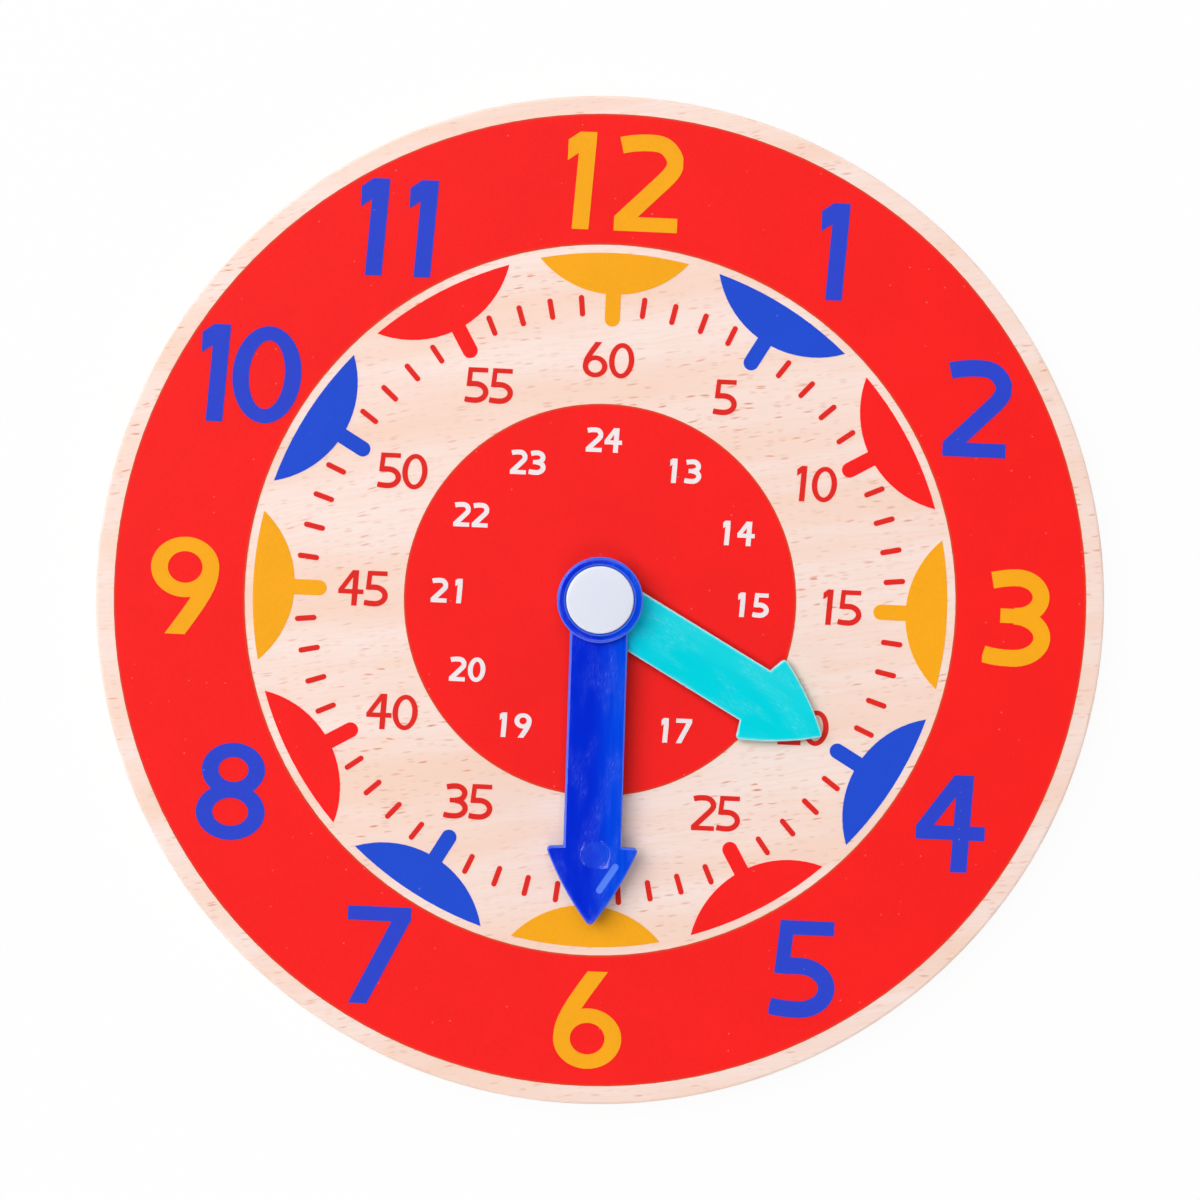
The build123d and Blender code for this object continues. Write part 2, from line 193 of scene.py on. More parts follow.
class RivetSettings(bpy.types.PropertyGroup):
    cap_radius: length("Cap radius", "Head of the rivet", 4.7 * MM)
    cap_edge: length("Cap edge", "Rounding of the cap's rim", 0.3 * MM)
    cap_crown: length("Cap crown", "How far the cap's middle stands above its rim", 0.12 * MM)
    cap_thickness: length("Cap thickness", "From the top to the underside", 1.1 * MM)
    pin_radius: length("Pin radius", "Shaft of the rivet", 2.0 * MM)
    barb_height: length("Barb height", "Ring near the shaft's end that snaps in", 0.2 * MM)
    barb_length: length("Barb length", "From the barb to the shaft's end", 0.9 * MM)
    colour: colour("White plastic", "Cap, pin and socket", srgb(228, 231, 245))
    washer: colour("Washer plastic", "Thin washer under the hands", srgb(232, 232, 226))


class StageSettings(bpy.types.PropertyGroup):
    field: length("Field", "Width of the picture at the board's face", 168.8 * MM)
    lens: number("Lens", "Focal length, in millimetres", 85)
    roll: angle("Roll", "Turn of the camera about its line of sight", 2.5)
    distance: length("Distance", "From the board to each lamp", 6.0)
    key_tilt: angle("Key tilt", "Softbox's angle from straight above", 34)
    key_bearing: angle("Key bearing", "Softbox's direction, clockwise from the 12", 297)
    key_size: length("Key size", "Side of the softbox", 4.35)
    key_power: number("Key power", "Softbox, in watts", 260)
    fill_tilt: angle("Fill tilt", "Fill lamps' angle from straight above", 25)
    upper_bearing: angle("Upper fill bearing", "Direction, clockwise from the 12", 8)
    lower_bearing: angle("Lower fill bearing", "Direction, clockwise from the 12", 178)
    fill_size: length("Fill size", "Side of each fill lamp", 2.7)
    fill_power: number("Fill power", "Each fill lamp, in watts", 61)
    back_tilt: angle("Back tilt", "Lamp below, from straight above", 155)
    back_size: length("Back size", "Side of the lamp below", 2.25)
    back_power: number("Back power", "Lamp below, in watts", 330)
    horizon: number("Horizon", "Strength of the low light all round", 1.8)
    floor_size: length("Floor size", "Side of the floor", 8)
    floor_drop: length("Floor drop", "Gap between the board and the floor", 0.2 * MM)


class ClockSettings(bpy.types.PropertyGroup):
    board: PointerProperty(type=BoardSettings)
    ink: PointerProperty(type=PrintSettings)
    hour_hand: PointerProperty(type=HourHandSettings)
    minute_hand: PointerProperty(type=MinuteHandSettings)
    moulding: PointerProperty(type=MouldingSettings)
    rivet: PointerProperty(type=RivetSettings)
    stage: PointerProperty(type=StageSettings)


# ---- Shader nodes ------------------------------------------------------------------------------
class Socket:
    """A number in a node tree. An expression on such numbers adds its Math nodes."""

    def __init__(self, nodes, output):
        self.nodes = nodes
        self.output = output

    def math(self, operation, other=0, swapped=False):
        """A Math node on this number and another, which comes first where they are swapped."""
        numbers = {0: other, 1: self} if swapped else {0: self, 1: other}
        return self.nodes.add("ShaderNodeMath", {"operation": operation}, numbers)

    def __add__(self, other):
        return self.math("ADD", other)

    def __radd__(self, other):
        return self.math("ADD", other)

    def __sub__(self, other):
        return self.math("SUBTRACT", other)

    def __rsub__(self, other):
        return self.math("SUBTRACT", other, swapped=True)

    def __mul__(self, other):
        return self.math("MULTIPLY", other)

    def __rmul__(self, other):
        return self.math("MULTIPLY", other)

    def __truediv__(self, other):
        return self.math("DIVIDE", other)

    def __rtruediv__(self, other):
        return self.math("DIVIDE", other, swapped=True)

    def __mod__(self, other):
        return self.math("FLOORED_MODULO", other)

    def __gt__(self, other):
        return self.math("GREATER_THAN", other)

    def __abs__(self):
        return self.math("ABSOLUTE")

    def floor(self):
        return self.math("FLOOR")


class Nodes:
    """A node tree with short ways to add to it."""

    def __init__(self, tree):
        self.tree = tree
        tree.nodes.clear()

    def add(self, kind, settings, sockets, output=0):
        """Adds a node: its settings first, then a value or a link for each named socket."""
        node = self.tree.nodes.new(kind)
        for name, value in settings.items():
            setattr(node, name, value)
        for name, value in sockets.items():
            if isinstance(value, Socket):
                self.tree.links.new(value.output, node.inputs[name])
            elif node.inputs[name].type == "RGBA":
                node.inputs[name].default_value = (*value, 1)
            else:
                node.inputs[name].default_value = value
        return Socket(self, node.outputs[output]) if node.outputs else None

    def place(self, turn=0):
        """The point on the object, turned about its axis."""
        point = self.add("ShaderNodeTexCoord", {}, {}, "Object")
        return self.add("ShaderNodeMapping", {}, {"Vector": point, "Rotation": (0, 0, turn)})

    def split(self, vector):
        kind = "ShaderNodeSeparateXYZ"
        return [self.add(kind, {}, {"Vector": vector}, axis) for axis in "XYZ"]

    def join(self, x, y, z):
        return self.add("ShaderNodeCombineXYZ", {}, {"X": x, "Y": y, "Z": z})

    def length(self, x, y):
        flat = self.join(x, y, 0.0)
        return self.add("ShaderNodeVectorMath", {"operation": "LENGTH"}, {0: flat}, "Value")

    def from_axis(self):
        """How far a point is from the pivot's axis."""
        x, y, _ = self.split(self.place())
        return self.length(x, y)

    def facing_up(self):
        """1 where the surface faces straight up, 0 on a wall."""
        normal = self.add("ShaderNodeNewGeometry", {}, {}, "Normal")
        return self.split(normal)[2]

    def ray(self, kind):
        """1 for rays of one kind, such as Camera, and 0 for all others."""
        return self.add("ShaderNodeLightPath", {}, {}, f"Is {kind} Ray")

    def noise(self, vector, scale=1.0, detail=2.0):
        sockets = {"Vector": vector, "Scale": scale, "Detail": detail}
        return self.add("ShaderNodeTexNoise", {}, sockets, "Fac")

    def cells(self, vector, scale=1.0):
        """The distance to the nearest of many scattered points, and that point's own three numbers."""
        settings = {"voronoi_dimensions": "2D"}
        sockets = {"Vector": vector, "Scale": scale}
        distance = self.add("ShaderNodeTexVoronoi", settings, sockets, "Distance")
        chance = self.add("ShaderNodeTexVoronoi", settings, sockets, "Color")
        return distance, self.split(chance)

    def ease(self, value, start, end, low=0.0, high=1.0):
        """A smooth step from low at start to high at end."""
        settings = {"interpolation_type": "SMOOTHSTEP"}
        sockets = {"Value": value, "From Min": start, "From Max": end, "To Min": low, "To Max": high}
        return self.add("ShaderNodeMapRange", settings, sockets)

    def blend(self, factor, first, second):
        """A colour between two colours."""
        return self.add("ShaderNodeMix", {"data_type": "RGBA"}, {0: factor, 6: first, 7: second}, 2)

    def bump(self, height, depth, strength=1.0):
        sockets = {"Height": height, "Distance": depth, "Strength": strength}
        return self.add("ShaderNodeBump", {}, sockets, "Normal")


class Finish(Nodes):
    """A material with its node tree."""

    def __init__(self, name):
        self.material = bpy.data.materials.new(name)
        self.material.use_nodes = True
        super().__init__(self.material.node_tree)

    def surface(self, **sockets):
        """Ends the tree in a Principled shader, with its sockets' names written with underscores."""
        named = {name.replace("_", " "): value for name, value in sockets.items()}
        shader = self.add("ShaderNodeBsdfPrincipled", {}, named)
        self.add("ShaderNodeOutputMaterial", {}, {"Surface": shader})
        return self.material


def dress(piece, material):
    piece.data.materials.clear()
    piece.data.materials.append(material)


def darker(tone, by):
    return tuple(value * by for value in tone)


# ---- Finishes ----------------------------------------------------------------------------------
def along_the_grain(nodes, board):
    """The point on the wood: along the grain, across it with a slow wander, and through the board."""
    along, across, through = nodes.split(nodes.place(-board.grain_angle))
    wander = nodes.noise(nodes.join(along / (55 * MM), across / (30 * MM), 0.0), detail=1.0)
    ripple = nodes.noise(nodes.join(along / (5 * MM), across / (2.5 * MM), 0.0), detail=1.0)
    return along, across + wander * (5 * MM) + ripple * (0.9 * MM), through


def grain_lines(nodes, along, across, through):
    """Fine long lines of the wood, from 0 to 1."""
    return nodes.noise(nodes.join(along / (9 * MM), across / (0.4 * MM), through / MM), detail=3.0)


def flecks(nodes, along, across, start, long, thick, few):
    """Short spindles along the grain, each of its own strength, and a number for its colour."""
    place = nodes.join(along / long + start, across / thick, 0.0)
    distance, (chance, strength, hue) = nodes.cells(place)
    shape = nodes.ease(distance, 0.5, 0.12)
    return shape * (chance > few) * nodes.ease(strength, 0.0, 1.0, 0.35, 1.0), hue


def beech(board):
    """Sanded beech plywood: banded, flecked faces, and a wall where cross plies show end grain."""
    nodes = Finish("beech_plywood")
    radius = BOARD_HIGH.x
    half = BOARD_HIGH.z / 2
    rim = board.edge_radius
    ply_thickness = BOARD_HIGH.z / board.ply_count
    along, across, through = along_the_grain(nodes, board)
    x, y, z = nodes.split(nodes.place())
    ply_height = (z - HAIR) / ply_thickness  # so the top face belongs to the ply below it
    ply = ply_height.floor()

    bands = nodes.noise(nodes.join(along / (60 * MM), across / (7 * MM), ply), detail=3.0)
    lines = grain_lines(nodes, along, across, through)
    tone = nodes.blend(nodes.ease(bands, 0.3, 0.75), board.pale, board.warm)
    tone = nodes.blend(nodes.ease(lines, 0.4, 0.75, 0.0, 0.55), tone, board.warm)
    bold, bold_hue = flecks(nodes, along, across, ply * 3.7, 2.0 * MM, 0.36 * MM, 0.93)
    faint, _ = flecks(nodes, along, across, ply * 5.3 + 9.0, 1.6 * MM, 0.34 * MM, 0.8)
    crowded = nodes.noise(nodes.join(along / (40 * MM), across / (16 * MM), ply + 4.0), detail=1.0)
    specks = (bold * 0.85 + faint * 0.34) * nodes.ease(crowded, 0.38, 0.62, 0.35, 1.0)
    fleck_tone = nodes.blend(bold_hue, board.fleck, board.red_fleck)

    on_wall = nodes.ease(nodes.from_axis(), radius - rim, radius - 0.4 * rim)
    layers = nodes.noise(nodes.join(x / (4 * MM), y / (4 * MM), z / (0.12 * MM)), detail=2.0)
    pores = nodes.noise(nodes.place(), 1 / (0.16 * MM), 1.0)
    crossed = nodes.blend(nodes.ease(pores, 0.35, 0.7), board.cross_ply, board.warm)
    wall_tone = nodes.blend(ply % 2.0, tone, crossed)
    wall_tone = nodes.blend(nodes.ease(layers, 0.4, 0.8, 0.0, 0.4), wall_tone, board.cross_ply)
    to_glue = abs((ply_height + 0.5) % 1.0 - 0.5) * ply_thickness
    between_rims = nodes.ease(abs(z - half), half - 0.6 * rim, half - rim)
    glued = nodes.ease(to_glue, 0.09 * MM, 0.03 * MM) * between_rims
    wall_tone = nodes.blend(glued * 0.8, wall_tone, board.glue)

    face_tone = nodes.blend(specks, tone, fleck_tone)
    relief = lines * 0.5 - specks * 0.3
    return nodes.surface(
        Base_Color=nodes.blend(on_wall, face_tone, wall_tone),
        Roughness=nodes.ease(lines, 0.2, 0.8, 0.48, 0.6),
        Specular_IOR_Level=0.3,
        Normal=nodes.bump(relief, 0.02 * MM, 0.5),
    )


def ink(name, tone, board, edge_tone=None, edges=()):
    """Satin screen ink: a little blotchy, with faint pinholes and a darker line at its round edges."""
    nodes = Finish(name)
    along, across, through = along_the_grain(nodes, board)
    lines = grain_lines(nodes, along, across, through)
    clouds = nodes.noise(nodes.place(), 1 / (9 * MM), 3.0)
    mottle = nodes.noise(nodes.place(), 1 / (0.35 * MM), 2.0)
    shade = nodes.ease(clouds, 0.3, 0.7, 0.0, 0.5) + nodes.ease(mottle, 0.35, 0.75, 0.0, 0.5)
    body = nodes.blend(shade, tone, darker(tone, 0.93))
    distance, (chance, strength, _) = nodes.cells(nodes.place(), 1 / (2.6 * MM))
    pinhole = nodes.ease(distance, 0.06, 0.02) * (chance > 0.88) * strength
    body = nodes.blend(pinhole * 0.2, body, tuple((value + 2) / 3 for value in tone))
    if edges:
        from_axis = nodes.from_axis()
        near = [nodes.ease(abs(from_axis - edge), 0.36 * MM, 0.08 * MM) for edge in edges]
        body = nodes.blend(sum(near[1:], near[0]) * 0.6, body, edge_tone)
    return nodes.surface(
        Base_Color=body,
        Roughness=nodes.ease(mottle, 0.3, 0.7, 0.4, 0.5),
        Specular_IOR_Level=0.1,
        Normal=nodes.bump(lines * 0.6 + mottle * 0.4, 0.012 * MM, 0.4),
    )


def moulding_marks(nodes, point, moulding):
    """Where the minute hand's top face shows its gate and its ejector pin, each from 0 to 1."""
    settings = {"vector_type": "TEXTURE"}
    sockets = {
        "Vector": point,
        "Location": (moulding.gate_aside, moulding.gate_along, 0),
        "Rotation": (0, 0, moulding.gate_lean),
    }
    across, along, _ = nodes.split(nodes.add("ShaderNodeMapping", settings, sockets))
    half_straight = (moulding.gate_length - moulding.gate_width) / 2
    beyond = (abs(along) - half_straight).math("MAXIMUM", 0.0)
    half = moulding.gate_width / 2
    gate = nodes.ease(nodes.length(across, beyond), half + 0.04 * MM, half - 0.14 * MM)
    x, y, _ = nodes.split(point)
    to_pin = nodes.length(x - moulding.mark_aside, y - moulding.mark_along)
    pin = nodes.ease(to_pin, moulding.mark_radius, moulding.mark_radius - 0.4 * MM)
    return gate, pin


def hand_plastic(name, hand, moulding):
    """Glossy moulded plastic with rubbed patches, a painted sheen in streaks along one side of the
    blade, and painted highlights on the rounded edges.
    """
    nodes = Finish(name)
    point = nodes.place(hand.turn)
    across, along, _ = nodes.split(point)
    half = hand.blade_width / 2
    streaks = nodes.noise(nodes.join(across / (0.5 * MM), along / (9 * MM), 0.0), detail=2.0)
    # Painted sheen: one side of the blade lighter, in streaks, where the sunk top would reflect the
    # softbox
    lit_side = nodes.ease(across, half * 0.2, -half * 0.9)
    sheen = lit_side * nodes.ease(streaks, 0.2, 0.8, 0.55, 1.0)
    body = nodes.blend(sheen, hand.colour, hand.painted_sheen_colour)
    patches = nodes.noise(nodes.join(across / (2.4 * MM), along / (7 * MM), 5.0), detail=2.0)
    slanted = nodes.join((across - along * 0.2) / (0.12 * MM), along / (1.1 * MM), 3.0)
    scratches = nodes.noise(slanted, detail=2.0)
    rubbed = nodes.ease(patches, 0.44, 0.62) * nodes.ease(scratches, 0.42, 0.72)
    body = nodes.blend(rubbed * hand.scuffs, body, hand.marks_and_rim_highlight)

    # Painted highlight: paler where the edges are rounded, and a little on the walls. The same colour
    # lightens the rubbed patches above and the ejector mark below
    level = nodes.facing_up()
    rim = nodes.ease(level, 0.96, 0.75) * nodes.ease(level, 0.0, 0.5, 0.3, 1.0)
    body = nodes.blend(rim, body, hand.marks_and_rim_highlight)
    if hasattr(hand, "painted_gate_highlight"):
        gate, pin = moulding_marks(nodes, point, moulding)
        clouded = pin * nodes.ease(scratches, 0.3, 0.7, 0.12, 0.24)
        body = nodes.blend(clouded, body, hand.marks_and_rim_highlight)
        # Painted highlight: the light blue of the softbox's reflection on the gate's flat
        body = nodes.blend(gate * 0.85, body, hand.painted_gate_highlight)
    skin = nodes.noise(point, 1 / (1.6 * MM), 1.0)
    return nodes.surface(
        Base_Color=body,
        Roughness=nodes.ease(patches, 0.35, 0.7, 0.1, 0.17) + rubbed * 0.12,
        Specular_IOR_Level=0.5,
        Normal=nodes.bump(skin - rubbed * 0.3, 0.003 * MM, 0.3),
    )


def plain_plastic(name, tone, roughness):
    """Smooth moulded plastic with a faint clouding."""
    nodes = Finish(name)
    clouds = nodes.noise(nodes.place(), 1 / (6 * MM), 0.0)
    return nodes.surface(
        Base_Color=nodes.blend(clouds, tone, darker(tone, 0.99)),
        Roughness=nodes.ease(clouds, 0.2, 0.8, roughness, roughness + 0.02),
        Specular_IOR_Level=0.4,
    )


# ---- Modelling ---------------------------------------------------------------------------------
def deselect_all():
    if bpy.context.mode != "OBJECT":
        bpy.ops.object.mode_set(mode="OBJECT")
    bpy.ops.object.select_all(action="DESELECT")


def new_piece(name):
    """Names the primitive that was just added, and starts to edit it."""
    piece = bpy.context.active_object
    piece.name = name
    piece.data.name = name
    bpy.ops.object.transform_apply(location=True, rotation=True, scale=True)
    bpy.ops.object.mode_set(mode="EDIT")
    return piece


def pick(piece, kind, test):
    """In edit mode, selects only the vertices, edges or faces that pass a test, and needs one."""
    bpy.ops.mesh.select_mode(type={"verts": "VERT", "edges": "EDGE", "faces": "FACE"}[kind])
    bpy.ops.mesh.select_all(action="DESELECT")
    mesh = bmesh.from_edit_mesh(piece.data)
    found = [part for part in getattr(mesh, kind) if test(part)]
    for part in found:
        part.select_set(True)
    mesh.select_flush_mode()
    bmesh.update_edit_mesh(piece.data)
    if not found:
        raise RuntimeError(f"nothing to pick among the {kind} of {piece.name}")


def at_height(edge, height):
    return all(abs(vertex.co.z - height) < SAME for vertex in edge.verts)


def faces_up(face, direction=1):
    return face.normal.z * direction > 0.9999


def above(face, height):
    return face.calc_center_median().z > height


def stretch(x=1.0, y=1.0):
    bpy.ops.transform.resize(value=(x, y, 1), center_override=(0, 0, 0))


def extrude(y=0.0, z=0.0):
    bpy.ops.mesh.extrude_region_move(TRANSFORM_OT_translate={"value": (0, y, z)})


def bevel(width, segments, affect="EDGES"):
    bpy.ops.mesh.bevel(affect=affect, offset=width, segments=segments, profile=0.5)


def face_outwards():
    bpy.ops.mesh.select_all(action="SELECT")
    bpy.ops.mesh.normals_make_consistent(inside=False)


def choose(piece):
    """Makes a piece the only one selected, and the active one."""
    deselect_all()
    piece.select_set(True)
    bpy.context.view_layer.objects.active = piece


def combine(piece, other, operation):
    """Adds another piece's solid to a piece, or cuts it away, and drops the other piece."""
    choose(piece)
    boolean = piece.modifiers.new("combine", "BOOLEAN")
    boolean.object = other
    boolean.operation = operation
    boolean.solver = "EXACT"
    bpy.ops.object.modifier_apply(modifier=boolean.name)
    bpy.data.meshes.remove(other.data)


def smooth(piece, degrees):
    choose(piece)
    bpy.ops.object.shade_smooth_by_angle(angle=radians(degrees))


def drum(name, radius, low, high, sides=128):
    """A plain closed cylinder about the pivot, in edit mode."""
    deselect_all()
    bpy.ops.mesh.primitive_cylinder_add(
        vertices=sides, radius=radius, depth=high - low, location=(0, 0, (low + high) / 2)
    )
    return new_piece(name)


def hand_outline(name, hand, moulding, low):
    """A flat face in a hand's outline, pointing along +Y from the pivot, in edit mode."""
    half_blade = hand.blade_width / 2
    half_head = hand.head_width / 2
    head_start = hand.reach - hand.head_length
    near = 0.1 * MM  # less than the gap between two corners
    deselect_all()
    bpy.ops.mesh.primitive_plane_add(size=1, location=(0, 0.5, 0))
    piece = new_piece(name)
    stretch(x=hand.blade_width, y=head_start)

    # The barbs, then the tip
    pick(piece, "verts", lambda vertex: vertex.co.y > head_start - near)
    extrude(y=hand.barb_sweep)
    stretch(x=hand.head_width / hand.blade_width)
    extrude(y=hand.head_length - hand.barb_sweep)
    stretch(x=0)
    bpy.ops.mesh.select_all(action="SELECT")
    bpy.ops.mesh.remove_doubles(threshold=HAIR)
    bpy.ops.mesh.dissolve_faces()

    # Round corners: a vertex is cut back to where the rounding meets its two sides
    side = Vector((half_head, hand.barb_sweep - hand.head_length))
    half_tip = side.angle(Vector((0, -1)))
    back = Vector((half_blade - half_head, -hand.barb_sweep))
    half_barb = (-side).angle(back) / 2
    pick(piece, "verts", lambda vertex: vertex.co.y > hand.reach - near)
    bevel(moulding.tip_radius / tan(half_tip), 8, affect="VERTICES")
    pick(piece, "verts", lambda vertex: abs(vertex.co.x) > half_head - near)
    bevel(moulding.barb_radius / tan(half_barb), 8, affect="VERTICES")

    # Bowed long sides: each is cut up, and its middle is pulled out while all else is hidden
    in_head = head_start + near / 2

    def long_side(edge):
        ends_in_head = all(vertex.co.y > in_head for vertex in edge.verts)
        return ends_in_head and edge.calc_length() > side.length / 2

    pick(piece, "edges", long_side)
    bpy.ops.mesh.subdivide(number_cuts=15)
    middle_y = hand.reach - hand.head_length / 2
    for way in (1, -1):
        pick(piece, "verts", lambda vertex: vertex.co.x * way > 0 and vertex.co.y > in_head)
        row = [vertex for vertex in bmesh.from_edit_mesh(piece.data).verts if vertex.select]
        middle = min(row, key=lambda vertex: abs(vertex.co.y - middle_y)).co.copy()
        pick(piece, "verts", lambda vertex: vertex.co.x * way < 0 or vertex.co.y < in_head)
        bpy.ops.mesh.hide()
        pick(piece, "verts", lambda vertex: not vertex.hide and (vertex.co - middle).length < HAIR)
        outwards = Vector((way * -side.y, side.x, 0)).normalized()
        bpy.ops.transform.translate(
            value=outwards * moulding.bow,
            use_proportional_edit=True,
            proportional_edit_falloff="INVERSE_SQUARE",
            proportional_size=side.length / 2,
        )
        bpy.ops.mesh.reveal(select=False)
    bpy.ops.mesh.select_all(action="SELECT")
    bpy.ops.mesh.dissolve_faces()
    bpy.ops.transform.translate(value=(0, 0, low))
    return piece


def hand_blade(name, hand, moulding, low):
    """A hand without its hub: rounded top edges and a top that has sunk along the middle."""
    piece = hand_outline(name, hand, moulding, low)
    top = low + hand.thickness
    bpy.ops.mesh.select_all(action="SELECT")
    extrude(z=hand.thickness)
    face_outwards()
    pick(piece, "edges", lambda edge: at_height(edge, top))
    bevel(moulding.edge_radius, 5)

    # The top face in small squares, so that it can curve
    step = 0.5 * MM
    columns = int(hand.head_width / 2 / step)
    for column in range(-columns, columns + 1):
        pick(piece, "faces", lambda face: faces_up(face) and above(face, top - HAIR))
        bpy.ops.mesh.bisect(plane_co=(column * step, 0, top), plane_no=(1, 0, 0))
    for row in range(1, int(hand.reach / step)):
        pick(piece, "faces", lambda face: faces_up(face) and above(face, top - HAIR))
        bpy.ops.mesh.bisect(plane_co=(0, row * step, top), plane_no=(0, 1, 0))

    # The middle line sinks and takes the squares beside it along, but not those at the tip
    reach_of_sink = hand.blade_width / 2 - moulding.edge_radius
    sink_end = hand.reach - 1.7 * reach_of_sink

    def on_middle_line(vertex):
        x, y, z = vertex.co
        return abs(x) < 0.4 * step and y < sink_end and z > top - HAIR

    pick(piece, "verts", on_middle_line)
    bpy.ops.transform.translate(
        value=(0, 0, -moulding.sink),
        use_proportional_edit=True,
        proportional_edit_falloff="SMOOTH",
        proportional_size=reach_of_sink,
    )
    bpy.ops.object.mode_set(mode="OBJECT")
    return piece


def hub(hand, moulding, low, high):
    """A hub: a drum whose top falls a little to a rounded rim, with or without a seat for the cap."""
    top = high - hand.hub_slope
    piece = drum("hub", moulding.hub_radius, low, top)
    pick(piece, "faces", faces_up)
    bpy.ops.mesh.inset(thickness=moulding.hub_radius - moulding.seat_radius)
    bpy.ops.transform.translate(value=(0, 0, hand.hub_slope))
    if hand.seat_depth:
        extrude(z=-hand.seat_depth)
        pick(piece, "edges", lambda edge: at_height(edge, high))
        bevel(moulding.seat_edge, 3)
    pick(piece, "edges", lambda edge: at_height(edge, top))
    bevel(hand.hub_edge, 5)
    bpy.ops.object.mode_set(mode="OBJECT")
    return piece


def turn_into_place(piece, hand):
    """Turns a finished hand clockwise to the time that it shows, and leaves its object unturned."""
    choose(piece)
    piece.rotation_euler.z = -hand.turn
    bpy.ops.object.transform_apply(location=False, rotation=True, scale=False)


def make_hand(name, hand, moulding):
    """A whole hand, still pointing along +Y: its blade and hub in one, with the bore through."""
    low, high = (corner.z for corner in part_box(name))
    piece = hand_blade(name + "_moulding", hand, moulding, low)
    combine(piece, hub(hand, moulding, low, high), "UNION")
    bore = drum("bore", moulding.bore_radius, low - MM, high + MM, sides=64)
    bpy.ops.object.mode_set(mode="OBJECT")
    combine(piece, bore, "DIFFERENCE")
    return piece


def finish_hand(piece, name, hand, moulding, slot):
    """Turns a hand to its time and gives it its plastic and its place in the frame."""
    turn_into_place(piece, hand)
    smooth(piece, 40)
    dress(piece, hand_plastic(slot, hand, moulding))
    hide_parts(name)
    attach(piece, name)


def lamp(name, stage, tilt, bearing, size, power):
    """A square lamp that faces the middle of the dial."""
    towards = Vector((sin(tilt) * sin(bearing), sin(tilt) * cos(bearing), cos(tilt)))
    face = Vector((0, 0, BOARD_HIGH.z))
    deselect_all()
    bpy.ops.object.light_add(type="AREA", location=face + towards * stage.distance)
    light = bpy.context.active_object
    light.name = name
    light.data.size = size
    light.data.energy = power
    light.rotation_euler = towards.to_track_quat("Z", "Y").to_euler()


# ---- Operators ---------------------------------------------------------------------------------
class CLOCK_OT_board(bpy.types.Operator):
    """Model the round plywood board, with its counterbore behind and its rivet hole"""

    bl_idname = "clock.board"
    bl_label = "Dial board"

    def execute(self, context):
        board = context.scene.clock.board
        radius = BOARD_HIGH.x
        thickness = BOARD_HIGH.z
        piece = drum("dial_board_wood", radius, 0, thickness, sides=192)

        # Plies: a shallow groove at each glue line, then the two rims
        inwards = 1 - board.glue_depth / radius
        for layer in range(1, board.ply_count):
            height = thickness * layer / board.ply_count
            bpy.ops.mesh.select_all(action="SELECT")
            bpy.ops.mesh.bisect(plane_co=(0, 0, height), plane_no=(0, 0, 1))
            pick(piece, "edges", lambda edge: at_height(edge, height))
            bevel(board.glue_width / 2, 2)
            pick(piece, "verts", lambda vertex: abs(vertex.co.z - height) < SAME)
            stretch(x=inwards, y=inwards)
        pick(piece, "edges", lambda edge: at_height(edge, 0) or at_height(edge, thickness))
        bevel(board.edge_radius, 6)

        # Counterbore and hole
        flat_radius = radius - board.edge_radius
        recess_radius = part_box("rivet_socket")[1].x + board.recess_clearance
        pick(piece, "faces", lambda face: faces_up(face, -1) and not above(face, MM))
        bpy.ops.mesh.inset(thickness=flat_radius - recess_radius)
        extrude(z=board.recess_depth)
        bpy.ops.mesh.inset(thickness=recess_radius - board.hole_radius)
        bpy.ops.mesh.delete(type="FACE")
        pick(piece, "faces", lambda face: faces_up(face) and above(face, thickness - MM))
        bpy.ops.mesh.inset(thickness=flat_radius - board.hole_radius)
        bpy.ops.mesh.delete(type="FACE")
        pick(piece, "edges", lambda edge: edge.is_boundary)
        bpy.ops.mesh.bridge_edge_loops()
        face_outwards()
        bpy.ops.object.mode_set(mode="OBJECT")

        smooth(piece, 30)
        dress(piece, beech(board))
        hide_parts("dial_board")
        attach(piece, "dial")
        return {"FINISHED"}


class CLOCK_OT_print(bpy.types.Operator):
    """Give each printed layer on the board its ink"""

    bl_idname = "clock.print"
    bl_label = "Print"

    def execute(self, context):
        tones = context.scene.clock.ink
        board = context.scene.clock.board
        ring_edges = (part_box("hour_ring")[1].x, tones.ring_inner)
        disc_edges = (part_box("centre_disc")[1].x,)
        red = ink("red_ink", tones.red, board)
        yellow = ink("yellow_ink", tones.yellow, board)
        blue = ink("blue_ink", tones.blue, board)
        fine_red = ink("fine_red_ink", tones.line_red, board)
        inks = {
            "hour_ring": ink("ring_ink", tones.red, board, tones.edge, ring_edges),
            "centre_disc": ink("disc_ink", tones.red, board, tones.edge, disc_edges),
            "red_markers": red,
            "minute_ticks": fine_red,
            "minute_numerals": fine_red,
            "yellow_markers": yellow,
            "yellow_hour_numerals": yellow,
            "blue_markers": blue,
            "blue_hour_numerals": ink("blue_on_red_ink", tones.blue_on_red, board),
            "day_numerals": ink("white_ink", tones.white, board),
        }
        for name, material in inks.items():
            dress(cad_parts[name], material)
        return {"FINISHED"}


class CLOCK_OT_hour_hand(bpy.types.Operator):
    """Model the short turquoise hand with its hub"""

    bl_idname = "clock.hour_hand"
    bl_label = "Hour hand"

    def execute(self, context):
        clock = context.scene.clock
        piece = make_hand("hour_hand", clock.hour_hand, clock.moulding)
        finish_hand(piece, "hour_hand", clock.hour_hand, clock.moulding, "turquoise_plastic")
        return {"FINISHED"}


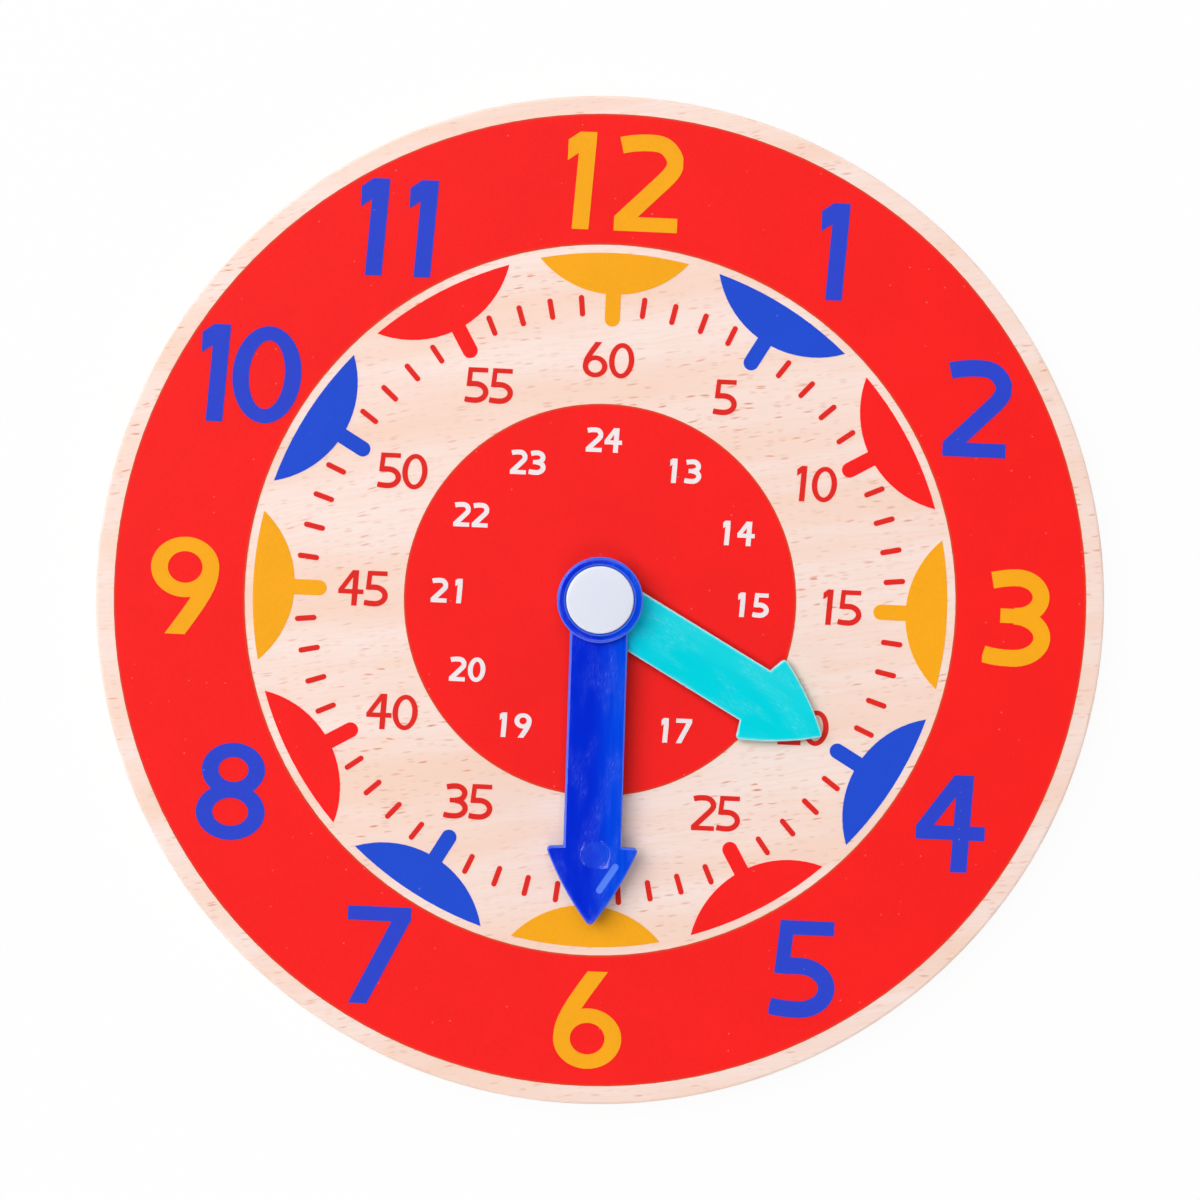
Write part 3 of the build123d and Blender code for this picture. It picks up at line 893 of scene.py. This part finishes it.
class CLOCK_OT_minute_hand(bpy.types.Operator):
    """Model the long blue hand: its dished hub, ejector mark and the flat left by its gate"""

    bl_idname = "clock.minute_hand"
    bl_label = "Minute hand"

    def execute(self, context):
        clock = context.scene.clock
        hand = clock.minute_hand
        moulding = clock.moulding
        piece = make_hand("minute_hand", hand, moulding)
        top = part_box("minute_hand")[0].z + hand.thickness

        # Ejector mark: a shallow round groove in the sunk face
        deselect_all()
        bpy.ops.mesh.primitive_torus_add(
            major_radius=moulding.mark_radius,
            minor_radius=moulding.mark_groove,
            major_segments=64,
            minor_segments=24,
            location=(moulding.mark_aside, moulding.mark_along, top + moulding.mark_rise),
        )
        ring = new_piece("ring")
        bpy.ops.object.mode_set(mode="OBJECT")
        combine(piece, ring, "DIFFERENCE")

        # Gate: a long flat beside the head's edge, with round ends
        half_straight = (moulding.gate_length - moulding.gate_width) / 2
        tool = drum("gate_tool", moulding.gate_width / 2, 0, MM, sides=48)
        for way in (1, -1):
            pick(tool, "verts", lambda vertex: vertex.co.y * way > SAME)
            bpy.ops.transform.translate(value=(0, way * half_straight, 0))
        bpy.ops.object.mode_set(mode="OBJECT")
        tool.rotation_euler = (0, 0, moulding.gate_lean)
        tool.location = (moulding.gate_aside, moulding.gate_along, top - moulding.gate_depth)
        bpy.ops.object.transform_apply(location=True, rotation=True, scale=False)
        combine(piece, tool, "DIFFERENCE")
        finish_hand(piece, "minute_hand", hand, moulding, "blue_plastic")
        return {"FINISHED"}


class CLOCK_OT_rivet(bpy.types.Operator):
    """Model the rivet's pin with its cap, and finish the socket and the washer"""

    bl_idname = "clock.rivet"
    bl_label = "Rivet"

    def execute(self, context):
        rivet = context.scene.clock.rivet
        low, high = (corner.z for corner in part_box("rivet_pin"))
        under_cap = high - rivet.cap_thickness
        rim = high - rivet.cap_crown
        piece = drum("rivet_pin_moulding", rivet.cap_radius, under_cap, rim)
        pick(piece, "edges", lambda edge: at_height(edge, rim))
        bevel(rivet.cap_edge, 5)

        # A crowned top, in rings that rise towards the middle
        ring_count = 8
        ring_width = (rivet.cap_radius - rivet.cap_edge) / (ring_count + 0.5)
        pick(piece, "faces", faces_up)
        for ring in range(ring_count):
            bpy.ops.mesh.inset(thickness=ring_width)
            still_to_go = 1 - (ring + 0.5) / ring_count
            rise = rivet.cap_crown * still_to_go * 2 / ring_count
            bpy.ops.transform.translate(value=(0, 0, rise))

        # The shaft below, with a barb near its end
        pick(piece, "faces", lambda face: faces_up(face, -1))
        bpy.ops.mesh.inset(thickness=rivet.cap_radius - rivet.pin_radius)
        extrude(z=low + rivet.barb_length - under_cap)
        barb = (rivet.pin_radius + rivet.barb_height) / rivet.pin_radius
        extrude()
        stretch(x=barb, y=barb)
        extrude(z=-rivet.barb_length)
        stretch(x=1 / barb, y=1 / barb)
        face_outwards()
        bpy.ops.object.mode_set(mode="OBJECT")
        smooth(piece, 40)
        white = plain_plastic("white_plastic", rivet.colour, 0.28)
        dress(piece, white)
        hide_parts("rivet_pin")
        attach(piece, "dial")

        dress(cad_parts["rivet_socket"], white)
        washer = plain_plastic("washer_plastic", rivet.washer, 0.42)
        dress(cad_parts["dial_washer"], washer)
        return {"FINISHED"}


class CLOCK_OT_stage(bpy.types.Operator):
    """Set up the pale floor, the soft studio light and the camera straight above the dial"""

    bl_idname = "clock.stage"
    bl_label = "Stage"

    def execute(self, context):
        stage = context.scene.clock.stage
        scene = context.scene

        # Floor: white from above, and clear from below and to every lamp, so that the back shows.
        # It bounces no light, which would reach the back as well and make it too bright
        deselect_all()
        bpy.ops.mesh.primitive_plane_add(size=stage.floor_size, location=(0, 0, -stage.floor_drop))
        floor = context.active_object
        floor.name = "floor"
        floor.visible_shadow = False
        floor.visible_diffuse = False
        nodes = Finish("floor_paper")
        paper = nodes.add("ShaderNodeBsdfDiffuse", {}, {"Color": (0.9, 0.9, 0.9)})
        glow = nodes.add("ShaderNodeEmission", {}, {"Color": (1, 1, 1), "Strength": 1.0})
        whiter = nodes.ray("Camera") * 0.94 + nodes.ray("Glossy") * 0.9  # the rest keeps the shadow
        lit = nodes.add("ShaderNodeMixShader", {}, {0: whiter, 1: paper, 2: glow})
        clear = nodes.add("ShaderNodeBsdfTransparent", {}, {})
        below = nodes.add("ShaderNodeNewGeometry", {}, {}, "Backfacing")
        one_sided = nodes.add("ShaderNodeMixShader", {}, {0: below, 1: lit, 2: clear})
        nodes.add("ShaderNodeOutputMaterial", {}, {"Surface": one_sided})
        dress(floor, nodes.material)

        # Light all round: white where it is seen, and otherwise darker straight above and below
        world = bpy.data.worlds.new("studio")
        world.use_nodes = True
        scene.world = world
        nodes = Nodes(world.node_tree)
        seen = nodes.ray("Camera")
        mirrored = nodes.ray("Glossy")
        through = nodes.ray("Transmission")
        direction = nodes.add("ShaderNodeTexCoord", {}, {}, "Generated")
        height = abs(nodes.split(direction)[2])
        reflected = nodes.ease(height, 0.35, 0.95, 1.0, 0.03)
        low_light = nodes.ease(height, 0.0, 0.5, stage.horizon, 0.04)
        strength = seen + (1 - seen) * (
            mirrored * reflected + (1 - mirrored) * (through + (1 - through) * low_light)
        )
        light = nodes.add("ShaderNodeBackground", {}, {"Color": (1, 1, 1), "Strength": strength})
        nodes.add("ShaderNodeOutputWorld", {}, {"Surface": light})

        # A softbox, two high fill lamps, and a lamp below for the back
        lamp("softbox", stage, stage.key_tilt, stage.key_bearing, stage.key_size, stage.key_power)
        for name, bearing in (("upper_fill", stage.upper_bearing), ("lower_fill", stage.lower_bearing)):
            lamp(name, stage, stage.fill_tilt, bearing, stage.fill_size, stage.fill_power)
        lamp("back_lamp", stage, stage.back_tilt, stage.key_bearing, stage.back_size, stage.back_power)

        # Camera, as far up as its lens needs to see the field
        bpy.ops.object.camera_add(rotation=(0, 0, stage.roll))
        camera = context.active_object
        camera.name = "camera"
        camera.data.lens = stage.lens
        distance = stage.field * stage.lens / camera.data.sensor_width
        camera.location = (0, 0, BOARD_HIGH.z + distance)
        camera.data.clip_start = 0.01
        scene.camera = camera
        scene.view_settings.view_transform = "Standard"
        return {"FINISHED"}


class CLOCK_PT_panel(bpy.types.Panel):
    """The clock's pieces, in the order in which they are made"""

    bl_idname = "CLOCK_PT_panel"
    bl_label = "Teaching clock"
    bl_space_type = "VIEW_3D"
    bl_region_type = "UI"
    bl_category = "Clock"

    def draw(self, context):
        for operator in OPERATORS:
            self.layout.operator(operator.bl_idname)


SETTINGS = (
    BoardSettings,
    PrintSettings,
    HourHandSettings,
    MinuteHandSettings,
    MouldingSettings,
    RivetSettings,
    StageSettings,
    ClockSettings,
)
OPERATORS = (
    CLOCK_OT_board,
    CLOCK_OT_print,
    CLOCK_OT_hour_hand,
    CLOCK_OT_minute_hand,
    CLOCK_OT_rivet,
    CLOCK_OT_stage,
)
CLASSES = (*SETTINGS, *OPERATORS, CLOCK_PT_panel)


def register():
    for group in CLASSES:
        bpy.utils.register_class(group)
    bpy.types.Scene.clock = PointerProperty(type=ClockSettings)


def unregister():
    del bpy.types.Scene.clock
    for group in reversed(CLASSES):
        bpy.utils.unregister_class(group)


def main():
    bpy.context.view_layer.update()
    register()
    bpy.ops.clock.board()
    bpy.ops.clock.print()
    bpy.ops.clock.hour_hand()
    bpy.ops.clock.minute_hand()
    bpy.ops.clock.rivet()
    bpy.ops.clock.stage()


if __name__ == "__main__":
    main()
